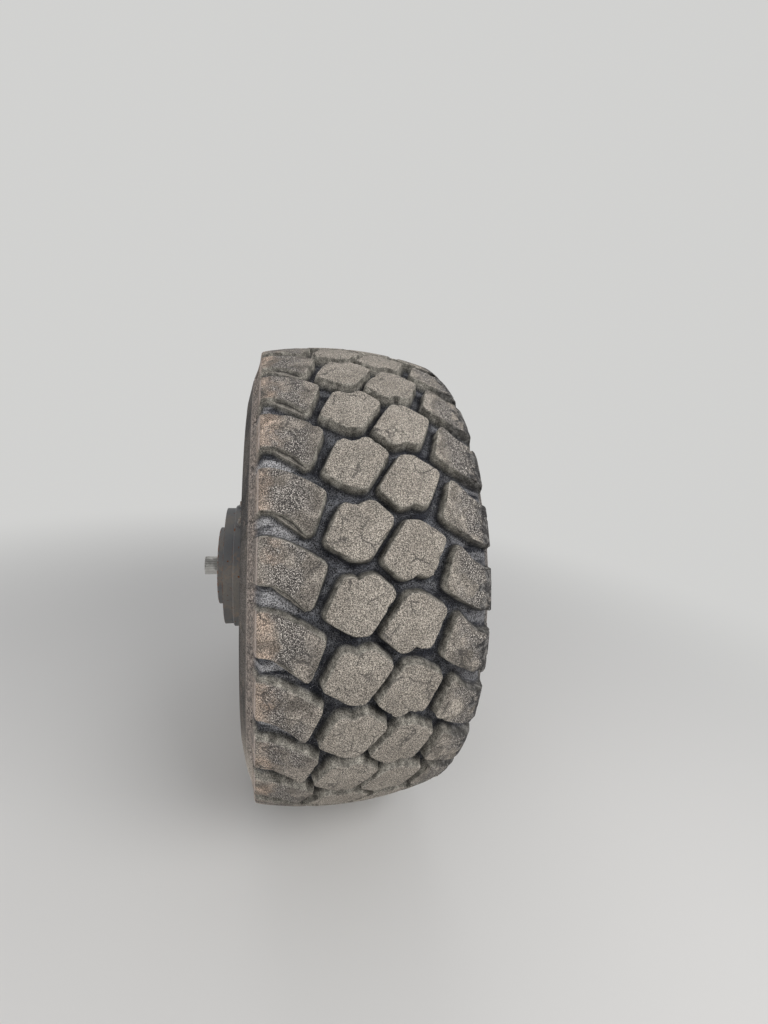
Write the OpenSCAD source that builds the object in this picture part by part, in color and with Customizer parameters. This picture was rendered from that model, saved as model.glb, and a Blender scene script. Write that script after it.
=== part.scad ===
/* [Tyre] */
// Outer diameter over the crown of the tread
tyre_d = 1880; // [1700:10:2100]
// Widest section of the casing, as it bulges under its load
tyre_w = 776; // [740:4:800]
// Width over the shoulder lugs
tread_w = 670; // [640:5:700]
// Number of times that the pattern repeats round the tread
pitch_count = 30; // [26:1:34]
// Depth of the grooves between the lugs
lug_depth = 40; // [25:1:50]
// How far the tread falls from its crown to its shoulder edge
crown_drop = 42; // [20:1:60]
// Rubber and belts under the grooves
under_tread = 46; // [30:1:60]
// Thickness of the sidewall at its widest
sidewall_t = 34; // [20:1:45]

/* [Rim] */
// Diameter of the bead seats at the heel
bead_d = 635; // [600:1:660]
// Width between the two flanges
rim_w = 635; // [600:1:660]
// Height of each flange above the bead seat
flange_h = 89; // [80:1:100]
// Plate thickness of the flange rings
flange_t = 20; // [14:1:26]
// Length of each tapered bead seat
seat_len = 80; // [60:1:100]
// Step from the bead heel down to the middle of the rim base
base_step = 17.5; // [14:0.5:24]
// Wall of the rim base
base_t = 16; // [12:1:20]
// Width of the stop that holds each flange ring
stop_t = 16; // [12:1:20]
// Thickness of the bolted disc
disc_t = 22; // [16:1:30]
// Distance from the wheel's middle plane out to the disc's inboard face
disc_offset = 50; // [30:5:80]

/* [Wheel hub] */
// Room between the stud circle and the bore of the rim base
rim_room = 34; // [30:1:44]
// Step from the stud circle in to the pilot that centres the disc
pilot_step = 37.5; // [34:0.5:50]
// Number of wheel studs
stud_count = 20; // [10:1:20]
// Thread diameter of a wheel stud
stud_d = 22; // [18:1:24]
// Thickness of the hub's flange
hub_flange_t = 30; // [20:1:40]
// Step from the stud circle in to the hub's drum
drum_step = 10; // [6:1:20]
// Step from the pilot in to the planet housing
planet_step = 5.5; // [4:0.5:12]
// Length of the planet housing in front of the disc
planet_len = 130; // [100:1:160]
// Number of planet gears, each with a boss on the cover
planet_count = 4; // [3:1:5]
// Thickness of the bolted end cover
cover_t = 28; // [20:1:40]
// Number of cover bolts
cover_bolt_count = 16; // [8:1:24]

/* [Axle end] */
// Clearance between the brake housing and the bore of the rim base
well_gap = 22; // [15:1:30]
// Step from the brake housing's edge in to the axle flange's bolt circle
axle_edge = 42; // [36:1:50]
// Margin of the axle flange outside its bolt circle
flange_edge = 30; // [24:1:36]
// Step from the bolt circle in to the spigot
spigot_step = 55; // [45:1:65]
// Length of the spigot
spigot_len = 28; // [15:1:40]
// Thickness of the axle flange
axle_flange_t = 36; // [28:1:48]
// Number of holes in the axle flange
axle_hole_count = 20; // [12:1:24]
// Diameter of those holes
axle_hole_d = 24; // [20:1:26]
// Diameter of the spindle's bearing journal
journal_d = 190; // [160:1:210]
// Wall by which the spindle's barrel is wider than the journal
barrel_t = 25; // [20:1:35]
// Length of the brake's piston housing
piston_len = 60; // [50:1:70]
// Length of the brake's disc housing
brake_len = 232; // [200:1:240]
// Number of cooling ribs on the disc housing
rib_count = 24; // [12:1:36]
// Diameter of the half shaft
shaft_d = 78; // [60:1:84]
// How far the half shaft's splined end stands out of the flange
shaft_out = 90; // [60:1:120]
// Number of splines on the half shaft
spline_count = 24; // [16:1:32]
// Diameter of the hose fittings' hexagon faces
port_hex = 27; // [22:1:32]

/* [Hidden] */

// Clearance of a seated piece, and of the bearing journal in its bore
seat_gap = 0.3;
journal_gap = 0.08;
// Running gap between the fixed and the turning halves of the seal
run_gap = 6;
$fn = 120;

// Finishes
rubber = [0.13, 0.13, 0.14];
cream_paint = [0.80, 0.78, 0.70];
grey_paint = [0.28, 0.30, 0.33];
plated_steel = [0.50, 0.50, 0.51];
bare_steel = [0.62, 0.62, 0.62];
brass = [0.66, 0.55, 0.28];

// Rim radii, and stations across the rim counted from the wheel's middle plane
bead_r = bead_d / 2;
half_w = rim_w / 2;
flange_r = bead_r + flange_h;
seat_drop = seat_len * tan(5);
base_r = bead_r - base_step;
base_in_r = base_r - base_t;
lip_r = 2 * flange_t;
foot_w = flange_t + 14.5;
stop_u = half_w + foot_w;
stop_r = bead_r + 20.5;
inner_end_u = stop_u + stop_t + 4;
gutter_u = stop_u + 1;
gutter_w = 19;
gutter_r = base_r - 7;
band_land_r = base_r + 2.8;
band_bore_r = band_land_r + seat_gap;
rim_end_u = gutter_u + gutter_w + 20;

// Radii of the hub and of the axle end, each stepped in from the bore of the rim base
stud_r = base_in_r - rim_room;
pilot_r = stud_r - pilot_step;
drum_r = stud_r - drum_step;
stud_head_d = 1.6 * stud_d;
neck_r = stud_r - stud_head_d / 2 - 4.4;
hub_flange_r = stud_r + 1.1 * stud_d;
planet_r = pilot_r - planet_step;
cover_bolt_r = planet_r - 22;
dome_r = cover_bolt_r - 26;
cap_r = 0.38 * planet_r;
boss_r = (dome_r - cap_r) / 2 - 8;
brake_r = base_in_r - well_gap;
axle_bolt_r = brake_r - axle_edge;
axle_flange_r = axle_bolt_r + flange_edge;
spigot_r = axle_bolt_r - spigot_step;
journal_r = journal_d / 2;
barrel_r = journal_r + barrel_t;
shaft_bore_d = shaft_d + 12;

// Stations along the axle, counted from the axle flange
brake_y = axle_flange_t + piston_len;
wheel_y = brake_y + 2 + inner_end_u;
hub_face_y = wheel_y + disc_offset;
disc_y = hub_face_y + disc_t;
planet_y = disc_y + 18;
cover_y = planet_y + planet_len;
cover_face_y = cover_y + cover_t;
dome_h = 26;
boss_h = 8;
cap_h = 22;
seal_y = brake_y + brake_len;
seal_t = 14;
collar_y = seal_y + seal_t + run_gap;
collar_t = 12;
journal_end_y = planet_y - 10;
valve_r = 8;
valve_y = disc_y + 90;

// Turns a list of [radius, station along the axle] into a ring about the axle
module turned(profile) {
  rotate([-90, 0, 0]) rotate_extrude() polygon(profile);
}

// Places children in a ring about the axle, on the radius r
module ring_of(count, r, first = 0) {
  for (k = [0 : count - 1]) rotate([0, first + 360 / count * k, 0]) translate([r, 0, 0]) children();
}

// A round bar along the axle, from station y, on the axis of its caller
module bar(d, y, length) {
  translate([0, y, 0]) rotate([-90, 0, 0]) cylinder(d = d, h = length);
}

// A hexagon along the axle
module hexagon(across, y, length) {
  translate([0, y, 0]) rotate([-90, 0, 0]) cylinder(d = across / cos(30), h = length, $fn = 6);
}

// Moves a profile across the rim to the outboard side, 1, or the inboard side, -1
function across_rim(side, profile) = [for (p = profile) [p[0], wheel_y + side * p[1]]];
function reversed(list) = [for (k = [len(list) - 1 : -1 : 0]) list[k]];
function arc(r, u, radius, from, to, steps = 6) =
  [for (k = [0 : steps]) let (a = from + (to - from) * k / steps) [r + radius * sin(a), u - radius * cos(a)]];

// Radius of the tread's crown at a distance u from the middle plane
function crown_r(u) = tyre_d / 2 - crown_drop * pow(2 * u / tread_w, 2);
half_tread = tread_w / 2;
edge_r = crown_r(half_tread);

// The crown over a share of the tread, from its outboard to its inboard end, lowered by a depth
function crown_line(depth, share = 1, steps = 2) =
  [for (k = [-steps : steps]) let (u = -share * half_tread * k / steps) [crown_r(u) - depth, u]];

// Outer wall of the casing from the bead heel to below the shoulder, as [radius, half width]
function side_wall() = let (w = tyre_w / 2, h = edge_r - flange_r) [
  [bead_r + seat_gap, half_w - seat_gap],
  each arc(flange_r - lip_r, half_w + lip_r, lip_r + seat_gap, 0, 45, 3),
  [flange_r + 0.02 * h, half_w + 0.36 * lip_r],
  [flange_r + 0.045 * h, w - 30],
  [flange_r + 0.055 * h, w - 19],
  [flange_r + 0.085 * h, w - 15],
  [flange_r + 0.10 * h, w - 19],
  [flange_r + 0.18 * h, w - 10],
  [flange_r + 0.30 * h, w - 3],
  [flange_r + 0.44 * h, w],
  [flange_r + 0.62 * h, w - 5],
  [flange_r + 0.74 * h, w - 13],
  [flange_r + 0.80 * h, w - 18]];

// Side of a shoulder lug, from the side wall up to the rounded edge of the tread
function lug_side() = let (h = edge_r - flange_r) [
  [flange_r + 0.80 * h, tyre_w / 2 - 18],
  [flange_r + 0.92 * h, half_tread + 5],
  [edge_r - 15, half_tread + 2],
  [edge_r - 3, half_tread - 4]];

// Inner wall of the casing from the bead toe to the middle of the crown
function inner_wall() = let (w = tyre_w / 2 - sidewall_t, r = crown_r(0) - lug_depth - under_tread,
    h = r - flange_r) [
  [bead_r - seat_drop + seat_gap, half_w - seat_len],
  [bead_r + 0.16 * flange_h, half_w - 1.05 * seat_len],
  [bead_r + 0.67 * flange_h, half_w - 0.70 * seat_len],
  [flange_r + 0.04 * h, half_w - 0.30 * seat_len],
  [flange_r + 0.25 * h, 0.977 * w],
  [flange_r + 0.47 * h, w],
  [flange_r + 0.71 * h, 0.965 * w],
  [flange_r + 0.84 * h, 0.857 * w],
  [flange_r + 0.94 * h, 0.68 * w],
  [flange_r + 0.98 * h, 0.32 * w],
  [r, 0]];

// The hollow casing up to the floor of the grooves, which end in an edge at each shoulder
module casing() {
  groove_share = 0.8;
  groove_edge = [[edge_r - 1.1 * lug_depth, half_tread - 8], [edge_r - 0.7 * lug_depth, half_tread - 13]];
  side = concat(side_wall(), groove_edge);
  inner = inner_wall();
  turned(concat(
    across_rim(1, side),
    across_rim(1, crown_line(lug_depth, groove_share)),
    reversed(across_rim(-1, side)),
    across_rim(-1, inner),
    [for (k = [len(inner) - 2 : -1 : 0]) across_rim(1, inner)[k]]));
}

// Lug outlines as [distance across from the middle plane, distance round], drawn for this width and pitch
drawn_w = 670;
drawn_pitch = 197;
block_outline = [[-126, 70], [-116, 76], [-92, 75], [-80, 65], [-67, 77], [-45, 83], [-32, 80], [15, 38],
  [18, 24], [-48, -76], [-58, -81], [-94, -81], [-164, -38], [-168, -24]];
shoulder_outline = [[-410, 84], [-305, 86], [-265, 72], [-210, 42], [-168, 14], [-162, 2], [-197, -103],
  [-210, -113], [-255, -66], [-300, -42], [-410, -38]];

// The four rows of lugs: outline, whether it is turned half round, and its place in the pitch in degrees
rows = [
  [block_outline, false, 2.9],
  [block_outline, true, 11.75],
  [shoulder_outline, false, 8.95],
  [shoulder_outline, true, 5.7]];

module lug(outline, turned_round, angle) {
  stretch = [tread_w / drawn_w, PI * tyre_d / pitch_count / drawn_pitch] * (turned_round ? -1 : 1);
  root_r = edge_r - 2 * lug_depth;
  rotate([0, -angle, 0]) translate([root_r, wheel_y, 0]) rotate([90, 0, 90])
    linear_extrude(tyre_d / 2 - root_r + lug_depth)
      polygon([for (p = outline) [p[0] * stretch[0], p[1] * stretch[1]]]);
}

// Everything between the groove floors and the crown, with the lugs' roots sunk in the casing
module tread_band() {
  root = 10;
  root_share = 0.88;
  crown_share = 0.955;
  turned(concat(
    across_rim(1, lug_side()),
    across_rim(1, crown_line(0, crown_share)),
    reversed(across_rim(-1, lug_side())),
    reversed(across_rim(1, crown_line(lug_depth + root, root_share)))));
}

module tyre() {
  pitch_angle = 360 / pitch_count;
  color(rubber) {
    casing();
    intersection() {
      tread_band();
      union() for (k = [0 : pitch_count - 1], row = rows)
        lug(row[0], row[1], (row[2] + 12 * k) * pitch_angle / 12);
    }
  }
}

// Room of the lock key at the bottom of the gutter, grown by a clearance
key_w = 36;
module key_room(extra) {
  near_u = stop_u + 6;
  far_u = rim_end_u - 3;
  top_r = band_bore_r + 17;
  translate([-key_w / 2 - extra, wheel_y + near_u - extra, -top_r - extra])
    cube([key_w + 2 * extra, far_u - near_u + 2 * extra, top_r - gutter_r - seat_gap + 2 * extra]);
}

// The welded base: stop and tapered seat inboard, well, land of the seat band, and gutter outboard
module rim_base() {
  lip = band_land_r - 0.2;
  color(cream_paint) difference() {
    turned(across_rim(1, [
      [base_in_r, -inner_end_u], [stop_r, -inner_end_u], [stop_r, -stop_u],
      [bead_r, -stop_u], [bead_r, -half_w], [bead_r - seat_drop, -half_w + seat_len],
      [base_r, -half_w + seat_len + 14], [base_r, half_w - seat_len - 24],
      [band_land_r, half_w - seat_len - 14], [band_land_r, gutter_u], [gutter_r, gutter_u],
      [gutter_r, gutter_u + gutter_w], [lip, gutter_u + gutter_w],
      [lip, rim_end_u - 4], [lip - 5, rim_end_u], [base_in_r, rim_end_u]]));
    valve_hole();
    key_room(seat_gap);
  }
}

// The bolted disc, with the weld that joins it to the base on each face
module rim_disc() {
  bore = pilot_r + seat_gap;
  edge = base_in_r - seat_gap;
  weld = edge - hub_flange_r - 1;
  color(cream_paint) difference() {
    turned([[bore, hub_face_y], [edge - weld, hub_face_y], [edge, hub_face_y - weld],
      [edge, disc_y + weld], [edge - weld, disc_y], [bore, disc_y]]);
    ring_of(stud_count, stud_r) bar(stud_d + 2, hub_face_y - 1, disc_t + 2);
  }
}

// A flange ring rolls outwards from the bead to its lip
module flange_ring(side) {
  lip_u = half_w + lip_r;
  foot_r = bead_r + seat_gap;
  color(cream_paint) turned(across_rim(side, concat(
    [[foot_r, half_w]],
    arc(flange_r - lip_r, lip_u, lip_r, 0, 90),
    [[flange_r, lip_u + 14], [flange_r - flange_t, lip_u + 14]],
    arc(flange_r - lip_r, lip_u, lip_r - flange_t, 90, 0),
    [[stop_r + 4, half_w + flange_t], [stop_r + 4, stop_u - seat_gap], [foot_r, stop_u - seat_gap]])));
}

module inner_flange() {
  flange_ring(-1);
}

module outer_flange() {
  flange_ring(1);
}

// The loose tapered seat of the outboard bead, which also stops the outer flange
module bead_seat_band() {
  start_u = half_w - seat_len - 11;
  color(cream_paint) difference() {
    turned(across_rim(1, [
      [band_bore_r, start_u], [band_bore_r + 5, start_u],
      [bead_r - seat_drop, half_w - seat_len], [bead_r, half_w], [bead_r, stop_u],
      [stop_r, stop_u], [stop_r, stop_u + stop_t], [band_bore_r + 17, stop_u + stop_t],
      [band_bore_r, stop_u + 1]]));
    key_room(seat_gap);
  }
}

// The split ring in the gutter, against the bevelled end of the band, with its ends at the key
module lock_ring() {
  foot = gutter_r + seat_gap;
  near = gutter_u + 2 * seat_gap;
  far = gutter_u + gutter_w - seat_gap;
  stop = stop_u + stop_t + 2 * seat_gap;
  color(plated_steel) difference() {
    turned(across_rim(1, [
      [foot, near], [band_bore_r, near], [band_bore_r + 17, stop],
      [band_bore_r + 27, stop], [band_bore_r + 27, far + 9], [band_bore_r + 19, far + 14],
      [band_bore_r + 9, far + 14], [band_bore_r + 1, far + 6], [band_bore_r, far], [foot, far]]));
    translate([-key_w / 2 - 1, wheel_y, -flange_r]) cube([key_w + 2, rim_w, flange_r]);
  }
}

// The key that stops the band and the ring from creeping round the base
module lock_key() {
  color(plated_steel) key_room(0);
}

module valve_hole() {
  translate([0, valve_y, -bead_r]) cylinder(r = valve_r + seat_gap, h = bead_r - base_in_r + base_t);
}

// The charging valve stands in the rim base at the bottom and turns outboard
module valve_stem() {
  bend = 3 * valve_r;
  head_h = 6;
  stem_len = 70;
  stem_r = base_in_r - 2 * valve_r - bend;
  color(brass) {
    translate([0, valve_y, -base_r - head_h]) cylinder(r = 2 * valve_r, h = head_h - seat_gap);
    translate([0, valve_y, -base_r - head_h]) cylinder(r = valve_r, h = base_r + head_h - stem_r - bend);
    translate([0, valve_y, -base_in_r + 1]) cylinder(r = 1.75 * valve_r, h = 1.5 * valve_r, $fn = 6);
    translate([0, valve_y + bend, -stem_r - bend]) rotate([90, 0, -90])
      rotate_extrude(angle = 90) translate([bend, 0]) circle(r = valve_r);
    translate([0, 0, -stem_r]) bar(2 * valve_r, valve_y + bend, stem_len);
    translate([0, 0, -stem_r]) bar(2.75 * valve_r, valve_y + bend + stem_len - 10, 18);
  }
}

// Studs that stand in the hub's flange, with their nuts and collars on the disc
module wheel_nuts() {
  collar_h = 5;
  nut_h = 0.86 * stud_d;
  head_h = 12;
  back_y = hub_face_y - hub_flange_t;
  color(plated_steel) ring_of(stud_count, stud_r) {
    bar(stud_d, back_y, disc_y - back_y + collar_h + nut_h + 7);
    bar(2 * stud_d, disc_y, collar_h);
    hexagon(1.5 * stud_d, disc_y + collar_h, nut_h);
    bar(stud_head_d, back_y - head_h, head_h);
  }
}

// The drum carries the flange that the wheel bolts to, and runs on the spindle's journal
module hub_drum() {
  back_y = hub_face_y - hub_flange_t;
  collar_r = drum_r - 14;
  bore_d = journal_d + 2 * journal_gap;
  color(grey_paint) difference() {
    turned([[0, collar_y], [collar_r, collar_y], [collar_r, collar_y + collar_t],
      [drum_r, collar_y + collar_t + 6], [drum_r, back_y - 60], [neck_r, back_y - 24], [neck_r, back_y],
      [hub_flange_r, back_y], [hub_flange_r, hub_face_y - 3], [hub_flange_r - 3, hub_face_y],
      [pilot_r, hub_face_y], [pilot_r, planet_y], [0, planet_y]]);
    bar(bore_d, collar_y - 1, journal_end_y - collar_y + 6);
    ring_of(stud_count, stud_r) bar(stud_d + 2 * seat_gap, back_y - 1, hub_flange_t + 2);
  }
}

// The ring gear's housing, waisted between its two joints
module planet_housing() {
  rim = 24;
  waist_r = planet_r - 9;
  color(grey_paint)
    turned([[0, planet_y], [planet_r, planet_y], [planet_r, planet_y + rim], [waist_r, planet_y + rim + 7],
      [waist_r, cover_y - rim - 7], [planet_r, cover_y - rim], [planet_r, cover_y], [0, cover_y]]);
}

// The bolted cover, with a boss over each planet gear's pin
module hub_cover() {
  dome_y = cover_face_y + dome_h;
  color(grey_paint) {
    turned([[0, cover_y], [planet_r, cover_y], [planet_r, cover_face_y - 4], [planet_r - 4, cover_face_y],
      [dome_r, cover_face_y], [dome_r - 8, dome_y - 6], [dome_r - 14, dome_y], [0, dome_y]]);
    ring_of(planet_count, (dome_r + cap_r) / 2 - 4) bar(2 * boss_r, dome_y - 2, boss_h + 2);
  }
}

module cover_bolts() {
  washer_h = 3;
  color(plated_steel) ring_of(cover_bolt_count, cover_bolt_r, 180 / cover_bolt_count) {
    bar(28, cover_face_y, washer_h);
    hexagon(21, cover_face_y + washer_h, 10);
  }
}

module centre_cap() {
  y = cover_face_y + dome_h;
  color(grey_paint)
    turned([[0, y], [cap_r, y], [cap_r, y + cap_h - 8], [cap_r - 8, y + cap_h], [0, y + cap_h]]);
}

// Drain and level plugs between the bosses
module oil_plugs() {
  y = cover_face_y + dome_h;
  color(plated_steel) ring_of(2, (dome_r + cap_r) / 2 - 4, 180 / planet_count) {
    bar(34, y, 4);
    hexagon(22, y + 4, 12);
  }
}

// The fixed spindle: spigot, flange with its bolt circle, barrel and bearing journal
module spindle() {
  barrel_end_y = seal_y + seal_t;
  color(grey_paint) difference() {
    turned([[0, -spigot_len], [spigot_r - 3, -spigot_len], [spigot_r, 3 - spigot_len],
      [spigot_r, 0], [axle_flange_r, 0], [axle_flange_r, axle_flange_t],
      [barrel_r, axle_flange_t], [barrel_r, barrel_end_y], [journal_r, barrel_end_y],
      [journal_r, journal_end_y], [0, journal_end_y]]);
    bar(shaft_bore_d, -spigot_len - 1, journal_end_y + spigot_len + 2);
    ring_of(axle_hole_count, axle_bolt_r) bar(axle_hole_d, -1, axle_flange_t + 2);
  }
}

// Pads of the three hose ports, the children pointing outwards
pad_h = 6;
pad_d = 1.7 * port_hex;
module at_ports() {
  for (angle = [60, 90, 120]) rotate([0, -angle, 0])
    translate([brake_r + pad_h, axle_flange_t + piston_len / 2, 0]) rotate([0, 90, 0]) children();
}

module piston_housing() {
  bolt_room = 24;
  root = 12;
  color(grey_paint) difference() {
    union() {
      turned([[barrel_r + seat_gap, axle_flange_t], [brake_r - 4, axle_flange_t],
        [brake_r, axle_flange_t + 4], [brake_r, brake_y], [barrel_r + seat_gap, brake_y]]);
      at_ports() translate([0, 0, -pad_h - root]) cylinder(d = pad_d, h = pad_h + root);
    }
    ring_of(axle_hole_count, axle_bolt_r) bar(axle_hole_d, axle_flange_t - 1, bolt_room + 1);
  }
}

// The housing of the oil-cooled discs, ribbed along its length
module brake_housing() {
  rim = 22;
  wall_r = brake_r - 14;
  rib_t = 8;
  taper_y = seal_y - 24;
  color(grey_paint) {
    turned([[barrel_r + seat_gap, brake_y], [brake_r, brake_y], [brake_r, brake_y + rim],
      [wall_r, brake_y + rim + 8], [wall_r, taper_y], [wall_r - 20, seal_y],
      [barrel_r + seat_gap, seal_y]]);
    ring_of(rib_count, wall_r - 4, 180 / rib_count) translate([0, brake_y + rim / 2, -rib_t / 2])
      cube([14, taper_y - brake_y - rim, rib_t]);
  }
}

module seal_carrier() {
  edge = drum_r - 14;
  bore = barrel_r + seat_gap;
  color(bare_steel)
    turned([[bore, seal_y], [edge, seal_y], [edge, seal_y + seal_t], [bore, seal_y + seal_t]]);
}

// Hose fittings on the piston housing, inboard of the rim
module brake_ports() {
  collar_h = 5;
  hex_h = 14;
  color(plated_steel) at_ports() {
    cylinder(d = 1.26 * port_hex, h = collar_h);
    translate([0, 0, collar_h]) cylinder(d = port_hex / cos(30), h = hex_h, $fn = 6);
    translate([0, 0, collar_h + hex_h]) cylinder(d = 0.66 * port_hex, h = 12);
  }
}

// The half shaft runs in the mouth of the spindle on a wider land, and ends inboard in splines
module half_shaft() {
  land_y = -18;
  land_len = 40;
  spline_len = shaft_out - 20;
  spline_d = 0.45 * PI * shaft_d / spline_count;
  color(bare_steel) difference() {
    union() {
      bar(shaft_d, -shaft_out, journal_end_y + shaft_out - 6);
      bar(shaft_bore_d - 2 * journal_gap, land_y, land_len);
    }
    ring_of(spline_count, shaft_d / 2) bar(spline_d, -shaft_out - 1, spline_len);
  }
}

tyre();
rim_base();
rim_disc();
inner_flange();
outer_flange();
bead_seat_band();
lock_ring();
lock_key();
valve_stem();
wheel_nuts();
hub_drum();
planet_housing();
hub_cover();
cover_bolts();
centre_cap();
oil_plugs();
spindle();
piston_housing();
brake_housing();
seal_carrier();
brake_ports();
half_shaft();
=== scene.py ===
"""A heavy earthmoving wheel: tyre, five-piece rim and planetary hub, on the axle end that carries it.

Metres, in the part's own frame: the axle lies along Y, its flange is at the origin, outboard is +Y and
up is +Z.
"""
import functools
import math
import types

import bmesh
import bpy
import numpy as np
from mathutils import Matrix, Vector


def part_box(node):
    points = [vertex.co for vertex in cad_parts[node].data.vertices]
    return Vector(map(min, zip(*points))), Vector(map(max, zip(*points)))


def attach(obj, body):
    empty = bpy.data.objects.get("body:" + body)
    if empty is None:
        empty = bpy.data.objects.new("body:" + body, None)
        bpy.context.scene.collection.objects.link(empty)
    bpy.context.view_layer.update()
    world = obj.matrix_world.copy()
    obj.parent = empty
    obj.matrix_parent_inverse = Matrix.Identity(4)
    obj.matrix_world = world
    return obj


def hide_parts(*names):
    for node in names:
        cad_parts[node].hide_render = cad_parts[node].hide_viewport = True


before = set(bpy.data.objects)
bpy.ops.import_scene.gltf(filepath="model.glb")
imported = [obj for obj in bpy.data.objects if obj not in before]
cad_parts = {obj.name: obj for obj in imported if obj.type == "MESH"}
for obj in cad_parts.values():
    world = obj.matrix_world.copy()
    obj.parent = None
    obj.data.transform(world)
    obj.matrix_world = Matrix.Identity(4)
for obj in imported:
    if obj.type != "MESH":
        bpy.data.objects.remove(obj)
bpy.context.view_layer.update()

# Camera
# It stands off the tread, inboard of its middle and a little below its top, and looks slightly down
# and outboard, held a little out of level.
tyre_low, tyre_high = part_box("tyre")
tyre_r = (tyre_high.z - tyre_low.z) / 2
wheel_y = (tyre_high.y + tyre_low.y) / 2
view_from = Vector((1.9007, wheel_y - 0.3215, 0.7574))
yaw, pitch, roll = (math.radians(degrees) for degrees in (15.92, 14.39, 4.87))
focal_length, sensor_width = 15.37, 36
ahead = Vector((-math.cos(yaw) * math.cos(pitch), math.sin(yaw) * math.cos(pitch), -math.sin(pitch)))
level = Vector((math.sin(yaw), math.cos(yaw), 0))
upward = level.cross(ahead)
turned_right = level * math.cos(roll) + upward * math.sin(roll)
turned_up = upward * math.cos(roll) - level * math.sin(roll)
facing = Matrix((turned_right, turned_up, -ahead)).transposed().to_4x4()
lens = bpy.data.cameras.new("camera")
lens.sensor_width = sensor_width
lens.lens = focal_length
camera = bpy.data.objects.new("camera", lens)
camera.matrix_world = Matrix.Translation(view_from) @ facing
bpy.context.scene.collection.objects.link(camera)
bpy.context.scene.camera = camera
bpy.context.scene.view_settings.view_transform = "Standard"

# Floor and light
# A plain pale floor touches the tread at its lowest point and fades into a backdrop of the same shade.
# Three large soft lamps and an even light from all round show the wheel without hard shadows.
floor_half, floor_colour = 40, (0.73, 0.715, 0.69, 1)
fade_from, fade_to, backdrop_colour = 1.8, 5.0, (0.64, 0.64, 0.63, 1)
surround_colour, surround_strength = (0.84, 0.86, 0.90, 1), 0.46
# Name, place, width and watts of each lamp
lamps = (("key", (3.6, 2.4, 3.0), 2.4, 132), ("fill", (2.8, -3.2, 1.6), 2.8, 48),
         ("top", (-1.5, 0.5, 4.2), 3.0, 30))


def add(tree, kind, inputs=(), **settings):
    """Adds a node with its settings, and with its inputs, by name or number, as values or links."""
    node = tree.nodes.new(kind)
    for key, value in settings.items():
        setattr(node, key, value)
    for key, value in dict(inputs).items():
        if isinstance(value, bpy.types.NodeSocket):
            tree.links.new(value, node.inputs[key])
        else:
            node.inputs[key].default_value = value
    return node


def maths(tree, operation, *values):
    return add(tree, "ShaderNodeMath", enumerate(values), operation=operation).outputs[0]


def fade(tree, value, start, end, low=0.0, high=1.0):
    """Goes smoothly from low to high while a value goes from start to end."""
    reach = {"Value": value, "From Min": start, "From Max": end, "To Min": low, "To Max": high}
    return add(tree, "ShaderNodeMapRange", reach, interpolation_type="SMOOTHSTEP").outputs[0]


def new_finish(name, roughness, metallic=0.0):
    finish = bpy.data.materials.new(name)
    finish.use_nodes = True
    shader = finish.node_tree.nodes["Principled BSDF"]
    shader.inputs["Roughness"].default_value = roughness
    shader.inputs["Metallic"].default_value = metallic
    return finish, finish.node_tree, shader


def seen_plainly(tree):
    """1 for what the camera sees directly, mirrored or through glass."""
    path = add(tree, "ShaderNodeLightPath").outputs
    return maths(tree, "MAXIMUM", path["Is Camera Ray"],
                 maths(tree, "MAXIMUM", path["Is Glossy Ray"], path["Is Transmission Ray"]))


floor_mesh = bpy.data.meshes.new("floor")
floor_corners = [(x * floor_half, y * floor_half, tyre_low.z)
                 for x, y in ((-1, -1), (1, -1), (1, 1), (-1, 1))]
floor_mesh.from_pydata(floor_corners, [], [(0, 1, 2, 3)])
floor = bpy.data.objects.new("floor", floor_mesh)
bpy.context.scene.collection.objects.link(floor)
floor_finish, tree, shader = new_finish("floor_finish", 0.9)
shader.inputs["Base Color"].default_value = floor_colour
from_wheel = add(tree, "ShaderNodeVectorMath", {0: add(tree, "ShaderNodeTexCoord").outputs["Object"]},
                 operation="LENGTH").outputs["Value"]
far_share = maths(tree, "MULTIPLY", fade(tree, from_wheel, fade_from, fade_to), seen_plainly(tree))
far_floor = add(tree, "ShaderNodeEmission", {"Color": backdrop_colour, "Strength": 1})
whole_floor = add(tree, "ShaderNodeMixShader", {0: far_share, 1: shader.outputs[0], 2: far_floor.outputs[0]})
tree.links.new(whole_floor.outputs[0], tree.nodes["Material Output"].inputs["Surface"])
floor_mesh.materials.append(floor_finish)

surround = bpy.data.worlds.new("surround")
bpy.context.scene.world = surround
surround.use_nodes = True
tree = surround.node_tree
tree.nodes["Background"].inputs["Color"].default_value = surround_colour
tree.nodes["Background"].inputs["Strength"].default_value = surround_strength
backdrop = add(tree, "ShaderNodeBackground", {"Color": backdrop_colour, "Strength": 1})
plain_light = tree.nodes["Background"].outputs[0]
whole_surround = add(tree, "ShaderNodeMixShader",
                     {0: seen_plainly(tree), 1: plain_light, 2: backdrop.outputs[0]})
tree.links.new(whole_surround.outputs[0], tree.nodes["World Output"].inputs["Surface"])

for name, place, size, power in lamps:
    lamp = bpy.data.lights.new(name, "AREA")
    lamp.size = size
    lamp.energy = power
    lamp_object = bpy.data.objects.new(name, lamp)
    aim = Vector((0, wheel_y, 0)) - Vector(place)
    lamp_object.matrix_world = Matrix.Translation(place) @ aim.to_track_quat("-Z", "Y").to_matrix().to_4x4()
    bpy.context.scene.collection.objects.link(lamp_object)

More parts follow.
